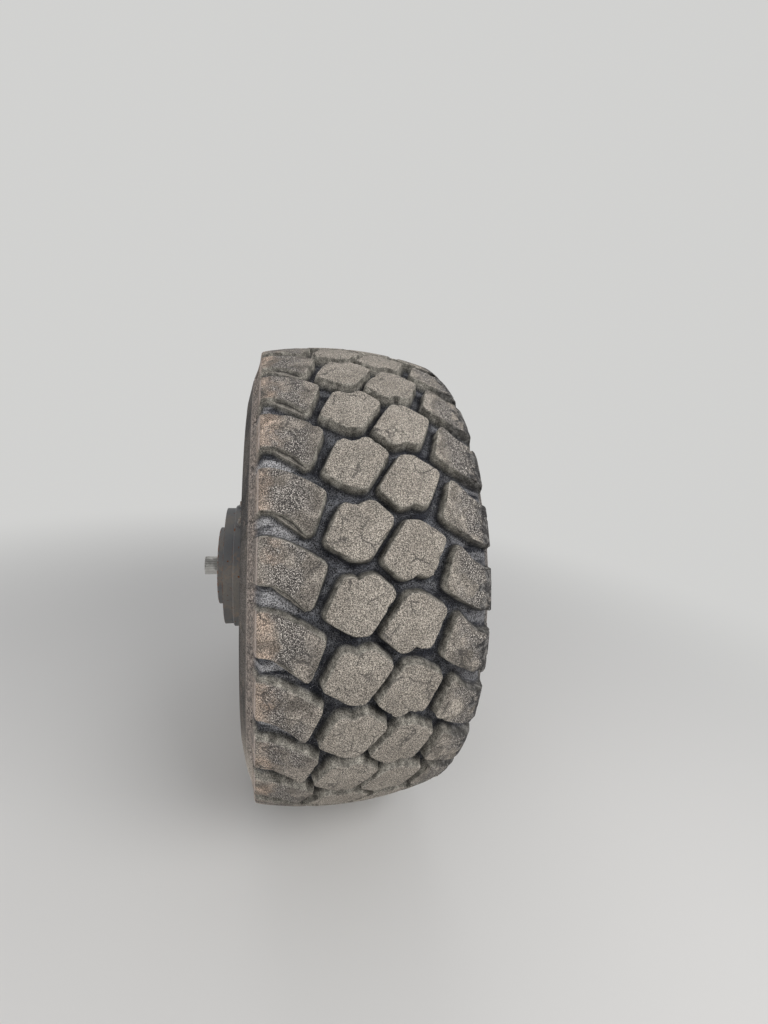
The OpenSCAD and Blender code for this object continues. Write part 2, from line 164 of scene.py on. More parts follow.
# Rubber of the tyre
# Black rubber, worn and dry: pale dust lies on the running faces and thins down the lugs' walls, mud has
# dried blue-grey in the shoulder grooves, and brown soil clings to the shoulders and the side walls.
half_tread = 0.335
band_foot_r = 0.790
face_dull = (0.284, 0.252, 0.214)
face_dusty = (0.356, 0.318, 0.271)
face_stain = (0.215, 0.195, 0.170)
shoulder_stain = (0.205, 0.180, 0.156)
tan_soil = (0.410, 0.318, 0.250)
# A painted highlight along the running faces' rounded edges
edge_highlight = (0.370, 0.340, 0.292)
bare_dark, bare_light = (0.046, 0.042, 0.040), (0.400, 0.367, 0.330)
torn_dark, torn_light = (0.030, 0.029, 0.030), (0.142, 0.136, 0.129)
crack_dark = (0.050, 0.046, 0.044)
wall_foot, wall_head = (0.070, 0.069, 0.066), (0.245, 0.229, 0.197)
foot_shadow = (0.014, 0.014, 0.016)
mud_black, mud_damp = (0.016, 0.017, 0.022), (0.085, 0.087, 0.095)
mud_dry, mud_grit = (0.290, 0.284, 0.287), (0.52, 0.52, 0.51)
# Painted shade for the ledge's crease, and a painted highlight for the ledge's top
ledge_crease_shade, ledge_rubbed = (0.040, 0.036, 0.034), (0.400, 0.360, 0.315)
side_bare, side_dusty = (0.042, 0.040, 0.040), (0.140, 0.124, 0.109)
side_splash = (0.255, 0.205, 0.162)
band_pale, band_dull = (0.280, 0.236, 0.206), (0.185, 0.162, 0.144)
band_outboard, band_line = (0.105, 0.099, 0.094), (0.36, 0.31, 0.275)
# A painted patch of sunlight, low on the inboard side wall
painted_sunlight = (0.560, 0.500, 0.430)
# A painted highlight along the tread's inboard edge
lip_highlight = (0.50, 0.42, 0.375)
rubber, tree, shader = new_finish("tread_rubber", 0.92)
shader.inputs["Specular IOR Level"].default_value = 0.28


def product(tree, *values):
    return functools.reduce(lambda whole, value: maths(tree, "MULTIPLY", whole, value), values)


def total(tree, *values):
    return functools.reduce(lambda whole, value: maths(tree, "ADD", whole, value), values)


def noise(tree, where, scale, detail=2.0):
    return add(tree, "ShaderNodeTexNoise", {"Vector": where, "Scale": scale, "Detail": detail}).outputs[0]


def mix(tree, share, first, second):
    first, second = ((*c, 1) if isinstance(c, tuple) and len(c) == 3 else c for c in (first, second))
    sockets = {"Factor": share, "A": first, "B": second}
    return add(tree, "ShaderNodeMix", sockets, data_type="RGBA").outputs["Result"]


def vector_maths(tree, operation, *values):
    return add(tree, "ShaderNodeVectorMath", enumerate(values), operation=operation).outputs[0]


def scaled(tree, vector, amount):
    return add(tree, "ShaderNodeVectorMath", {0: vector, "Scale": amount}, operation="SCALE").outputs[0]


def attribute(tree, name):
    return add(tree, "ShaderNodeAttribute", attribute_name=name).outputs["Fac"]


def about_axle(tree, place):
    """The part of a place that stands square to the axle, and its distance from the axle."""
    flat = vector_maths(tree, "MULTIPLY", place, (1, 0, 1))
    return flat, add(tree, "ShaderNodeVectorMath", {0: flat}, operation="LENGTH").outputs["Value"]


def tyre_patterns(tree):
    """Places on the tyre, what its lugs' attributes say, and the noises that several of its colours share."""
    tyre = types.SimpleNamespace()
    tyre.place = place = add(tree, "ShaderNodeTexCoord").outputs["Object"]
    split = add(tree, "ShaderNodeSeparateXYZ", {0: place}).outputs
    tyre.across = maths(tree, "SUBTRACT", split["Y"], wheel_y)
    tyre.distance = maths(tree, "ABSOLUTE", tyre.across)
    tyre.up = split["Z"]
    flat, tyre.radius = about_axle(tree, place)
    rolled = scaled(tree, vector_maths(tree, "NORMALIZE", flat), tyre_r)
    along = vector_maths(tree, "MULTIPLY", place, (0, 1, 0))
    tyre.down_wall = vector_maths(tree, "ADD", rolled, along)
    tyre.down_groove = vector_maths(tree, "ADD", rolled, scaled(tree, along, 0.22))
    outward = add(tree, "ShaderNodeCombineXYZ", {"Y": tyre.radius}).outputs[0]
    tyre.round_side = vector_maths(tree, "ADD", scaled(tree, rolled, 0.12), outward)
    tyre.top, tyre.height, tyre.rubbed = (attribute(tree, name) for name in ("top", "height", "rubbed"))
    tyre.inboard = fade(tree, tyre.across, -0.15, -0.19)
    tyre.outboard = fade(tree, tyre.across, 0.15, 0.20)
    tyre.shoulder = maths(tree, "MAXIMUM", tyre.inboard, tyre.outboard)
    tyre.grain = noise(tree, place, 430)
    tyre.grit = noise(tree, place, 300)
    tyre.mottle = noise(tree, place, 34, 4)
    return tyre


def pits(tree, tyre):
    """1 on sound rubber and less in the pits, which lie in patches."""
    cells = add(tree, "ShaderNodeTexVoronoi", {"Vector": tyre.place, "Scale": 185}).outputs["Distance"]
    patches = fade(tree, tyre.mottle, 0.56, 0.50)
    return maths(tree, "MAXIMUM", fade(tree, cells, 0.10, 0.26, 0.35, 1.0), patches)


def cracks(tree, tyre):
    """1 along the thin wandering cracks."""
    bend = add(tree, "ShaderNodeTexNoise", {"Vector": tyre.place, "Scale": 60}).outputs["Color"]
    bent = vector_maths(tree, "ADD", tyre.place, scaled(tree, bend, 0.016))
    cells = add(tree, "ShaderNodeTexVoronoi", {"Vector": bent, "Scale": 15}, feature="DISTANCE_TO_EDGE")
    line = fade(tree, cells.outputs["Distance"], 0.042, 0.014)
    return maths(tree, "MULTIPLY", line, fade(tree, noise(tree, tyre.place, 16), 0.50, 0.58))


def torn_rubber(tree, tyre):
    """The torn rubber's black, and a place's distance outboard, made ragged so that tears end unevenly."""
    colour = mix(tree, fade(tree, noise(tree, tyre.place, 62, 8), 0.47, 0.60), torn_dark, torn_light)
    colour = scaled(tree, colour, fade(tree, tyre.grain, 0.30, 0.70, 0.25, 1.9))
    wander = maths(tree, "MULTIPLY", maths(tree, "SUBTRACT", tyre.mottle, 0.5), 0.16)
    return colour, maths(tree, "ADD", tyre.across, wander)


def dusty_face(tree, tyre):
    """The running faces: speckled dust, darker at the shoulders, tan soil on the inboard ends, painted
    highlight on the edges.
    """
    colour = mix(tree, fade(tree, noise(tree, tyre.place, 8, 4), 0.36, 0.62), face_dull, face_dusty)
    colour = mix(tree, fade(tree, tyre.mottle, 0.44, 0.66, 0, 0.40), colour, face_stain)
    stain = maths(tree, "MULTIPLY", tyre.shoulder, fade(tree, tyre.across, -0.1, 0.1, 0.6, 0.2))
    colour = mix(tree, stain, colour, shoulder_stain)
    soil = product(tree, fade(tree, noise(tree, tyre.place, 10, 4), 0.36, 0.54),
                   fade(tree, tyre.distance, 0.26, 0.31), fade(tree, tyre.across, 0.1, -0.1, 0.1, 0.9))
    colour = mix(tree, soil, colour, tan_soil)
    # Painted highlight on the rounded edges of the running faces, where the crown's finish is half shown
    edge_highlight_share = product(tree, tyre.top, maths(tree, "SUBTRACT", 1.0, tyre.top), 2.0)
    colour = mix(tree, edge_highlight_share, colour, edge_highlight)
    speckle = product(tree, fade(tree, tyre.grain, 0.30, 0.70, 0.25, 1.75),
                      fade(tree, tyre.grit, 0.32, 0.66, 0.42, 1.34), tyre.pitted)
    colour = scaled(tree, colour, speckle)
    patches = fade(tree, noise(tree, tyre.place, 21, 5), 0.40, 0.60, 0.62, 1.22)
    return mix(tree, tyre.shoulder, colour, scaled(tree, colour, patches))


def scraped_face(tree, tyre):
    """The running faces with their bare dark patches, the torn outboard shoulder and the cracks."""
    bare = mix(tree, fade(tree, noise(tree, tyre.place, 340), 0.50, 0.59), bare_dark, bare_light)
    bare = scaled(tree, bare, fade(tree, tyre.grain, 0.30, 0.70, 0.15, 2.15))
    bare_share = product(tree, fade(tree, noise(tree, tyre.place, 11, 5), 0.42, 0.53), tyre.shoulder,
                         fade(tree, tyre.distance, 0.18, 0.23),
                         fade(tree, tyre.distance, 0.33, 0.29, 0.25, 1), 0.88)
    colour = mix(tree, bare_share, dusty_face(tree, tyre), bare)
    colour = mix(tree, fade(tree, tyre.ragged, 0.270, 0.300, 0, 0.92), colour, tyre.torn)
    return mix(tree, maths(tree, "MULTIPLY", tyre.crack, 0.65), colour, crack_dark)


def lug_wall(tree, tyre):
    """The lugs' walls: streaks of dust that thin from the crown down to black rubber at the foot."""
    colour = mix(tree, fade(tree, tyre.height, 0.05, 0.66), wall_foot, wall_head)
    shade = product(tree, fade(tree, noise(tree, tyre.down_wall, 52, 4), 0.30, 0.70, 0.66, 1.34),
                    fade(tree, tyre.mottle, 0.34, 0.68, 0.55, 1.35),
                    fade(tree, tyre.grit, 0.30, 0.70, 0.40, 1.60))
    colour = scaled(tree, colour, shade)
    return mix(tree, fade(tree, tyre.ragged, 0.215, 0.260, 0, 0.75), colour, tyre.torn)


def muddy_groove(tree, tyre):
    """The groove floors: black in the middle, smeared with dry mud at the shoulders, with bright grit."""
    colour = mix(tree, fade(tree, noise(tree, tyre.place, 19, 4), 0.38, 0.66), mud_black, mud_damp)
    reach = maths(tree, "ADD", fade(tree, tyre.distance, 0.17, 0.27, 0.10, 0.40),
                  fade(tree, tyre.across, -0.19, -0.27, 0, 0.55))
    smear = maths(tree, "MULTIPLY", fade(tree, noise(tree, tyre.down_groove, 30, 6), 0.42, 0.54), reach)
    colour = mix(tree, smear, colour, mud_dry)
    colour = scaled(tree, colour, fade(tree, tyre.grit, 0.30, 0.70, 0.10, 2.05))
    sparks = product(tree, fade(tree, tyre.grain, 0.60, 0.68), fade(tree, tyre.mottle, 0.50, 0.58), 0.55)
    return mix(tree, sparks, colour, mud_grit)


def lug_and_groove(tree, tyre):
    """A tread's colour from groove floor to crown, with painted shade at the walls' foot and in the ledge's
    crease, and a painted highlight on the ledge.
    """
    colour = mix(tree, fade(tree, tyre.height, 0.0, 0.24), muddy_groove(tree, tyre), lug_wall(tree, tyre))
    crevice = product(tree, fade(tree, tyre.height, 0.0, 0.05), fade(tree, tyre.height, 0.17, 0.09), 0.5)
    colour = mix(tree, crevice, colour, foot_shadow)
    colour = mix(tree, tyre.top, colour, scraped_face(tree, tyre))
    # Painted shade in the ledge's crease, and a painted highlight along the ledge's top
    colour = mix(tree, fade(tree, tyre.rubbed, -0.1, -0.9, 0, 0.85), colour, ledge_crease_shade)
    return mix(tree, fade(tree, tyre.rubbed, 0.4, 0.95, 0, 0.8), colour, ledge_rubbed)


def shoulder_band(tree, tyre):
    """The plain band between the lugs' ends and the side wall, with a rubbed line at its foot."""
    colour = mix(tree, fade(tree, tyre.mottle, 0.38, 0.64), band_pale, band_dull)
    colour = mix(tree, maths(tree, "MULTIPLY", tyre.outboard, 0.8), colour, band_outboard)
    colour = scaled(tree, colour, fade(tree, noise(tree, tyre.place, 150, 6), 0.32, 0.68, 0.30, 1.70))
    line = product(tree, fade(tree, tyre.radius, band_foot_r - 0.002, band_foot_r + 0.003),
                   fade(tree, tyre.radius, band_foot_r + 0.013, band_foot_r + 0.006), 0.6)
    return mix(tree, line, colour, band_line)


def side_wall(tree, tyre):
    """The side walls: a film of dust, splashes of soil, and a painted patch of sunlight low on the inboard
    side.
    """
    film = total(tree, fade(tree, tyre.radius, 0.60, 0.78, 0.0, 0.30),
                 fade(tree, tyre.radius, 0.56, 0.44, 0.0, 0.30),
                 fade(tree, noise(tree, tyre.place, 4.5, 6), 0.36, 0.66, -0.05, 0.62),
                 fade(tree, noise(tree, tyre.round_side, 60, 3), 0.30, 0.70, -0.12, 0.12))
    colour = mix(tree, film, side_bare, side_dusty)
    colour = mix(tree, fade(tree, noise(tree, tyre.place, 24, 6), 0.58, 0.66, 0, 0.35), colour, side_splash)
    below_band = fade(tree, tyre.radius, band_foot_r + 0.004, band_foot_r - 0.004)
    colour = mix(tree, below_band, shoulder_band(tree, tyre), colour)
    # Painted sunlight: the inboard side wall is paler towards the bottom
    low = product(tree, fade(tree, tyre.up, -0.15, -0.60), fade(tree, tyre.radius, 0.66, 0.76), tyre.inboard,
                  fade(tree, noise(tree, tyre.place, 7, 6), 0.34, 0.54, 0.25, 0.85))
    colour = mix(tree, low, colour, painted_sunlight)
    return scaled(tree, colour, fade(tree, tyre.grain, 0.30, 0.70, 0.45, 1.55))


def rubber_colour(tree, tyre):
    """The tread's colour, the side walls' past its edge, and a painted highlight along the inboard edge."""
    off_tread = maths(tree, "MAXIMUM", fade(tree, tyre.distance, half_tread + 0.001, half_tread + 0.012),
                      fade(tree, tyre.radius, band_foot_r + 0.010, band_foot_r))
    colour = mix(tree, maths(tree, "MULTIPLY", off_tread, 0.94), lug_and_groove(tree, tyre),
                 side_wall(tree, tyre))
    # Painted highlight along the inboard edge of the tread
    lip_highlight_share = product(tree, fade(tree, tyre.distance, half_tread - 0.002, half_tread + 0.002),
                  fade(tree, tyre.distance, half_tread + 0.010, half_tread + 0.006),
                  fade(tree, noise(tree, tyre.place, 130, 3), 0.32, 0.50, 0.2, 0.95), tyre.inboard,
                  fade(tree, tyre.radius, 0.872, 0.888, 0.15, 1))
    return mix(tree, lip_highlight_share, colour, lip_highlight)


tyre = tyre_patterns(tree)
tyre.pitted = pits(tree, tyre)
tyre.crack = cracks(tree, tyre)
tyre.torn, tyre.ragged = torn_rubber(tree, tyre)
tree.links.new(rubber_colour(tree, tyre), shader.inputs["Base Color"])
relief = total(tree, *(maths(tree, "MULTIPLY", pattern, depth) for pattern, depth in (
    (tyre.grain, 0.50), (tyre.mottle, 0.45), (tyre.grit, 0.50), (tyre.pitted, 0.30), (tyre.crack, -0.50))))
bump = add(tree, "ShaderNodeBump", {"Strength": 0.6, "Distance": 0.003, "Height": relief})
tree.links.new(bump.outputs[0], shader.inputs["Normal"])

# Section of the tread
# Lugs and grooves are moulded to one section. A point of it has a distance across from the middle, a distance
# round, and a share of the lugs' height: 0 on the groove floor and 1 on the crown. Past the tread's edge the
# section turns down the shoulder, where the grooves run out into the side wall.
crown_drop = 0.042
groove_depth = 0.040
section_step, crown_end, floor_end = 0.01, 0.290, 0.270
shoulder_bends = (0.300, 0.310, 0.318, 0.324, 0.329, 0.333, 0.337, 0.345, 0.375, 0.405)
shoulder_run = 0.435


def crown_r(across):
    return tyre_r - crown_drop * (across / half_tread) ** 2


crown_steps = np.arange(0, crown_end + section_step / 2, section_step)
floor_steps = np.arange(0, floor_end + section_step / 2, section_step)
run = [*crown_steps, *shoulder_bends, shoulder_run]
crown_line = [(across, crown_r(across)) for across in crown_steps]
inboard_top = crown_line + [
    (0.3010, 0.9062), (0.3120, 0.9033), (0.3210, 0.9008), (0.3284, 0.8985), (0.3336, 0.8954),
    (0.3368, 0.8905), (0.3384, 0.8835), (0.3398, 0.8700), (0.3424, 0.8560), (0.3490, 0.8310),
    (0.3615, 0.7985)]
outboard_top = crown_line + [
    (0.2988, 0.9035), (0.3070, 0.8990), (0.3137, 0.8941), (0.3190, 0.8892), (0.3237, 0.8836),
    (0.3274, 0.8770), (0.3302, 0.8692), (0.3330, 0.8600), (0.3366, 0.8480), (0.3452, 0.8280),
    (0.3615, 0.7985)]
groove_line = [(across, crown_r(across) - groove_depth) for across in floor_steps]
floor_ends = (0.280, 0.290, 0.300, 0.310, 0.3170, 0.3214, 0.3240, 0.3253, 0.3264, 0.3282, 0.3330, 0.3430,
              0.3610)
inboard_floor_r = (0.8716, 0.8707, 0.8701, 0.8694, 0.8686, 0.8676, 0.8660, 0.8634, 0.8590, 0.8510, 0.8380,
                   0.8200, 0.7975)
outboard_floor_r = (0.8705, 0.8678, 0.8640, 0.8585, 0.8535, 0.8493, 0.8465, 0.8445, 0.8422, 0.8375, 0.8270,
                    0.8125, 0.7975)
inboard_floor = groove_line + list(zip(floor_ends, inboard_floor_r))
outboard_floor = groove_line + list(zip(floor_ends, outboard_floor_r))
inboard, outboard = -1, 1
tread_sections = {inboard: (np.array(inboard_top), np.array(inboard_floor)),
                  outboard: (np.array(outboard_top), np.array(outboard_floor))}


def on_tread(across, around, height):
    """Where a point of the tread lies: the outboard shoulder is worn rounder than the inboard one."""
    side = outboard if across > 0 else inboard
    top_line, floor_line = tread_sections[side]
    top = [np.interp(abs(across), run, top_line[:, k]) for k in (0, 1)]
    low = [np.interp(abs(across), run, floor_line[:, k]) for k in (0, 1)]
    from_middle, radius = (low[k] + (top[k] - low[k]) * height for k in (0, 1))
    angle = around / tyre_r
    return np.stack([radius * np.cos(angle), wheel_y + side * from_middle, radius * np.sin(angle)], axis=-1)


# Lugs of the tread
# Each pitch of the pattern has two staggered blocks in the middle and one lug at each shoulder, moulded in
# one with the casing. Their walls flare to a fillet at the foot, and their edges are worn round and chipped.
pitch_count = 30
# Outlines in millimetres: across from the middle, and round
block_outline = [(-126, 69), (-114, 76), (-92, 75), (-80, 65), (-67, 77), (-45, 83), (-32, 80), (15, 38),
                 (18, 24), (-48, -76), (-58, -81), (-94, -81), (-164, -38), (-168, -24)]
shoulder_outline = [(-440, 84), (-305, 86), (-265, 72), (-210, 42), (-168, 14), (-162, 2), (-197, -103),
                    (-210, -113), (-255, -66), (-300, -42), (-440, -38)]
block_corner, shoulder_corner = 13, 8
# Name of the row, its lugs as outline, turn and degrees round, and how deep they ripple and chip
lug_rows = (
    ("tread_blocks", ((block_outline, 1, 2.9), (block_outline, -1, 11.75)), 0.0045, 0.06),
    ("inboard_lugs", ((shoulder_outline, 1, 8.95),), 0.0045, 0.06),
    ("outboard_lugs", ((shoulder_outline, -1, 5.7),), 0.0060, 0.08),
)
# Rings of a lug from the foot up to the crown: distance outside the outline in millimetres, share of the
# height, how far it shows the crown's finish and takes wear, and on an inboard lug how far it stands out
# as the ledge and whether it takes the ledge's painted highlight (1) or the painted shade of its crease (-1)
lug_rings = ((15, -0.12, 0, 0, 1, 0), (15, 0.0, 0, 0, 1, 0), (11, 0.035, 0, 0.1, 1, 0),
             (8.2, 0.12, 0, 0.3, 1, 0), (6.2, 0.28, 0, 0.4, 1, 0), (4.5, 0.46, 0, 0.4, 1, 0),
             (3.4, 0.585, 0.3, 0.5, 1, 1), (2.8, 0.64, 0, 0.5, 0, -1), (1.7, 0.80, 0.05, 0.8, 0, 0),
             (0.8, 0.91, 0.15, 1, 0, 0), (-0.5, 0.968, 0.5, 1, 0, 0), (-2.4, 0.992, 0.92, 0.8, 0, 0),
             (-5.5, 1.0, 1, 0.35, 0, 0))
crown_rings, crown_wear = (0.86, 0.70, 0.53, 0.36, 0.19), 0.25
torn_from, torn_full, torn_wear = 265, 310, 1.6
# On an inboard lug the ledge fills the hollow of the outline out to this straight line and a little past it
ledge_from, ledge_to = (-206, -113), (-296, -44)
ledge_w, ledge_widest, ledge_reach, ledge_ends = 3, 17, 22, 3
# The last layer carries the ledge's painted highlight (above 0) and painted shade (below 0)
lug_layers = ("top", "height", "wear", "rubbed")
points_round = 72
ripple_scale, chip_scale, chips_above, wear_seed = 16, 38, 0.56, 3.0


def rounded_outline(corners, radius, count):
    """The closed outline with its corners rounded, as evenly spaced points, anticlockwise."""
    corners = [Vector(c) for c in corners]
    if sum(a.cross(b) for a, b in zip(corners, corners[1:] + corners[:1])) < 0:
        corners.reverse()
    line = []
    for before, here, after in zip(corners[-1:] + corners[:-1], corners, corners[1:] + corners[:1]):
        start = here + (before - here).normalized() * min(radius, (before - here).length * 0.48)
        end = here + (after - here).normalized() * min(radius, (after - here).length * 0.48)
        line += [start * (1 - q) ** 2 + here * 2 * q * (1 - q) + end * q * q for q in np.linspace(0, 1, 6)]
    line = np.array([(p.x, p.y) for p in line + line[:1]])
    length = np.concatenate([[0], np.cumsum(np.linalg.norm(np.diff(line, axis=0), axis=1))])
    at = np.linspace(0, length[-1], count, endpoint=False)
    return np.stack([np.interp(at, length, line[:, k]) for k in (0, 1)], axis=1)


def ledge_along(outline):
    """How far the foot of an inboard lug stands out along its outline, and how much of a ledge it is."""
    start, end = np.array(ledge_from), np.array(ledge_to)
    share = np.clip((outline - start) @ (end - start) / ((end - start) @ (end - start)), 0, 1)
    away = np.linalg.norm(outline - start - share[:, None] * (end - start), axis=1)
    presence = np.clip(np.sin(np.pi * share) * ledge_ends, 0, 1) * (away < ledge_reach)
    return np.minimum(away + ledge_w, ledge_widest) * presence, presence


def add_lug(bm, corners, turn, degrees):
    """Adds a lug to bm in tread coordinates: across, round, and share of the height as its third one."""
    at_shoulder = corners is shoulder_outline
    radius = shoulder_corner if at_shoulder else block_corner
    outline = rounded_outline([(x * turn, y * turn) for x, y in corners], radius, points_round)
    along = np.roll(outline, -1, axis=0) - np.roll(outline, 1, axis=0)
    outward = np.stack([along[:, 1], -along[:, 0]], axis=1) / np.linalg.norm(along, axis=1)[:, None]
    ledge = presence = np.zeros(points_round)
    if at_shoulder and turn > 0:
        ledge, presence = ledge_along(outline)
    rings = [(outline + outward * (grow + ledge[:, None] * step), height, top, wear, presence * rubbed)
             for grow, height, top, wear, step, rubbed in lug_rings]
    crown = rings[-1][0]
    middle = crown.mean(axis=0)
    rings += [(middle + (crown - middle) * share, 1, 1, crown_wear, np.zeros(points_round))
              for share in crown_rings]
    layers = [bm.verts.layers.float[name] for name in lug_layers]
    centre_round = math.radians(degrees) * tyre_r

    def point(x, y, height, top, wear, rubbed=0.0):
        vert = bm.verts.new((x / 1000, y / 1000 + centre_round, height))
        wear *= 1 + torn_wear * np.clip((x - torn_from) / (torn_full - torn_from), 0, 1)
        for layer, value in zip(layers, (top, height, wear, rubbed)):
            vert[layer] = value
        return vert

    made = [[point(*at, height, top, wear, rubbed) for at, rubbed in zip(ring, ledge_lights_and_shades)]
            for ring, height, top, wear, ledge_lights_and_shades in rings]
    for low, high in zip(made, made[1:]):
        for k in range(points_round):
            after = (k + 1) % points_round
            bm.faces.new((low[k], low[after], high[after], high[k]))
    peak = point(*middle, 1, 1, crown_wear)
    for k in range(points_round):
        bm.faces.new((made[-1][k], made[-1][(k + 1) % points_round], peak))
    bm.faces.new(reversed(made[0]))


def repeat_round_axle(piece, count, first=0.0, ripple=0.0, chip=0.0, seed=0.0):
    """Repeats a piece round the axle by Geometry Nodes and roughens it as its wear attribute says."""
    tree = bpy.data.node_groups.new("repeat_round_axle", "GeometryNodeTree")
    given_names = {"Geometry": "Geometry", "Count": "Int", "First": "Float", "Ripple": "Float",
                   "Chip": "Float", "Seed": "Float", "Finish": "Material"}
    for label, kind in given_names.items():
        tree.interface.new_socket(label, in_out="INPUT", socket_type="NodeSocket" + kind)
    tree.interface.new_socket("Geometry", in_out="OUTPUT", socket_type="NodeSocketGeometry")
    given = add(tree, "NodeGroupInput").outputs

    def wave(scale, detail, offset):
        inputs = {"Scale": scale, "Detail": detail, "W": maths(tree, "ADD", given["Seed"], offset)}
        return add(tree, "ShaderNodeTexNoise", inputs, noise_dimensions="4D").outputs[0]

    points = add(tree, "GeometryNodePoints", {"Count": given["Count"]})
    step = maths(tree, "DIVIDE", 2 * math.pi, given["Count"])
    angle = maths(tree, "MULTIPLY_ADD", add(tree, "GeometryNodeInputIndex").outputs[0], step, given["First"])
    turn = add(tree, "ShaderNodeCombineXYZ", {"Y": angle})
    copies = add(tree, "GeometryNodeInstanceOnPoints", {
        "Points": points.outputs[0], "Instance": given["Geometry"], "Rotation": turn.outputs[0]})
    real = add(tree, "GeometryNodeRealizeInstances", {0: copies.outputs[0]})
    named = add(tree, "GeometryNodeInputNamedAttribute", {"Name": "wear"}, data_type="FLOAT")
    wear = named.outputs["Attribute"]
    ripples = maths(tree, "MULTIPLY", maths(tree, "SUBTRACT", wave(ripple_scale, 3, 0), 0.5), given["Ripple"])
    bites = maths(tree, "MAXIMUM", maths(tree, "SUBTRACT", wave(chip_scale, 2, 7), chips_above), 0)
    depth = maths(tree, "SUBTRACT", ripples, maths(tree, "MULTIPLY", bites, given["Chip"]))
    push = scaled(tree, add(tree, "GeometryNodeInputNormal").outputs[0], maths(tree, "MULTIPLY", depth, wear))
    moved = add(tree, "GeometryNodeSetPosition", {"Geometry": real.outputs[0], "Offset": push})
    finish = add(tree, "GeometryNodeSetMaterial", {"Geometry": moved.outputs[0], "Material": given["Finish"]})
    add(tree, "NodeGroupOutput", {0: finish.outputs[0]})

    modifier = piece.modifiers.new("repeat", "NODES")
    modifier.node_group = tree
    values = {"Count": count, "First": first, "Ripple": ripple, "Chip": chip, "Seed": seed,
              "Finish": piece.data.materials[0]}
    for item in tree.interface.items_tree:
        if item.in_out == "INPUT" and item.name in values:
            modifier[item.identifier] = values[item.name]
    piece.update_tag()
    apply_modifiers(piece)


def apply_modifiers(piece):
    evaluated = piece.evaluated_get(bpy.context.evaluated_depsgraph_get())
    piece.data = bpy.data.meshes.new_from_object(evaluated)
    piece.modifiers.clear()


def new_piece(name, bm, finish):
    mesh = bpy.data.meshes.new(name)
    bm.to_mesh(mesh)
    bm.free()
    mesh.materials.append(finish)
    mesh.shade_smooth()
    piece = bpy.data.objects.new(name, mesh)
    bpy.context.scene.collection.objects.link(piece)
    return piece


def settle(piece, body, node):
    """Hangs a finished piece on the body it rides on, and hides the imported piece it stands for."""
    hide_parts(node)
    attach(piece, body)


for name, rows, ripple, chip in lug_rows:
    bm = bmesh.new()
    for layer in lug_layers:
        bm.verts.layers.float.new(layer)
    for corners, turn, degrees in rows:
        add_lug(bm, corners, turn, degrees)
    for bend in shoulder_bends:
        for side in (inboard, outboard):
            bmesh.ops.bisect_plane(bm, geom=bm.verts[:] + bm.edges[:] + bm.faces[:], dist=1e-6,
                                   plane_co=(side * bend, 0, 0), plane_no=(1, 0, 0))
    for vert in bm.verts:
        vert.co = on_tread(*vert.co)
    bmesh.ops.recalc_face_normals(bm, faces=bm.faces)
    lugs = new_piece(name, bm, rubber)
    repeat_round_axle(lugs, pitch_count, ripple=ripple, chip=chip, seed=wear_seed)
    settle(lugs, "wheel", "tyre")

# Casing
# The groove floors and the side walls are one hollow body of rubber from bead to bead, with fine moulded
# rings under the shoulders and two heavier ones farther in, the inner of which guards the rim.
around_count = 360
casing_smooth = 62
ring_pitch, ring_height, ring_count = 0.0095, 0.0014, 9
first_ring, last_ring = (0.3632, 0.7900), (0.3834, 0.7045)
ring_shape = ((0.15, 0), (0.30, 1), (0.55, 1), (0.70, 0))
guard_height = 0.002


def fine_rings():
    """The fine rings, from the shoulder inward along the side wall's slope."""
    slope = (last_ring[0] - first_ring[0]) / (first_ring[1] - last_ring[1])
    downs = [((k + share) * ring_pitch, rise) for k in range(ring_count) for share, rise in ring_shape]
    return [(first_ring[0] + slope * down + rise * ring_height, first_ring[1] - down) for down, rise in downs]


def guard_ring(middle, wall):
    """A heavy ring about one radius, proud of the side wall, which is given from the tyre's middle."""
    return [(wall - 0.0003, middle + 0.012), (wall, middle + 0.007), (wall + guard_height, middle + 0.004),
            (wall + guard_height, middle - 0.004), (wall - 0.0002, middle - 0.007),
            (wall - 0.0005, middle - 0.012)]


widest = [(0.3858, 0.6400), (0.3859, 0.6150), (0.3852, 0.5900)]
bead = [(0.3800, 0.5200), (0.3770, 0.4950), (0.3735, 0.4760), (0.3695, 0.4620), (0.3690, 0.4570),
        (0.3726, 0.4520), (0.3732, 0.4440), (0.3712, 0.4360), (0.3640, 0.4310), (0.3520, 0.4250),
        (0.3400, 0.4180), (0.3315, 0.4070), (0.3290, 0.3950), (0.3226, 0.3867), (0.3186, 0.3769),
        (0.3172, 0.3665), (0.3172, 0.3178)]
side_line = fine_rings() + guard_ring(0.668, 0.3855) + widest + guard_ring(0.548, 0.3827) + bead
inner_line = [(0.2375, 0.3108), (0.2335, 0.3317), (0.2615, 0.3771), (0.2935, 0.4258), (0.3455, 0.518),
              (0.3535, 0.618), (0.3415, 0.724), (0.303, 0.782), (0.240, 0.827), (0.112, 0.845), (0, 0.853)]
inboard_half = inboard_floor + side_line + inner_line
outboard_half = outboard_floor + side_line + inner_line
loop = outboard_half + [(-across, radius) for across, radius in reversed(inboard_half[1:-1])]
bm = bmesh.new()
rings = []
for angle in np.linspace(0, 2 * math.pi, around_count, endpoint=False):
    rings.append([bm.verts.new((radius * math.cos(angle), wheel_y + across, radius * math.sin(angle)))
                  for across, radius in loop])
for ring, after in zip(rings, rings[1:] + rings[:1]):
    for k in range(len(loop)):
        n = (k + 1) % len(loop)
        bm.faces.new((ring[k], ring[n], after[n], after[k]))
bmesh.ops.recalc_face_normals(bm, faces=bm.faces)
casing = new_piece("casing", bm, rubber)
casing.data.set_sharp_from_angle(angle=math.radians(casing_smooth))
settle(casing, "wheel", "tyre")

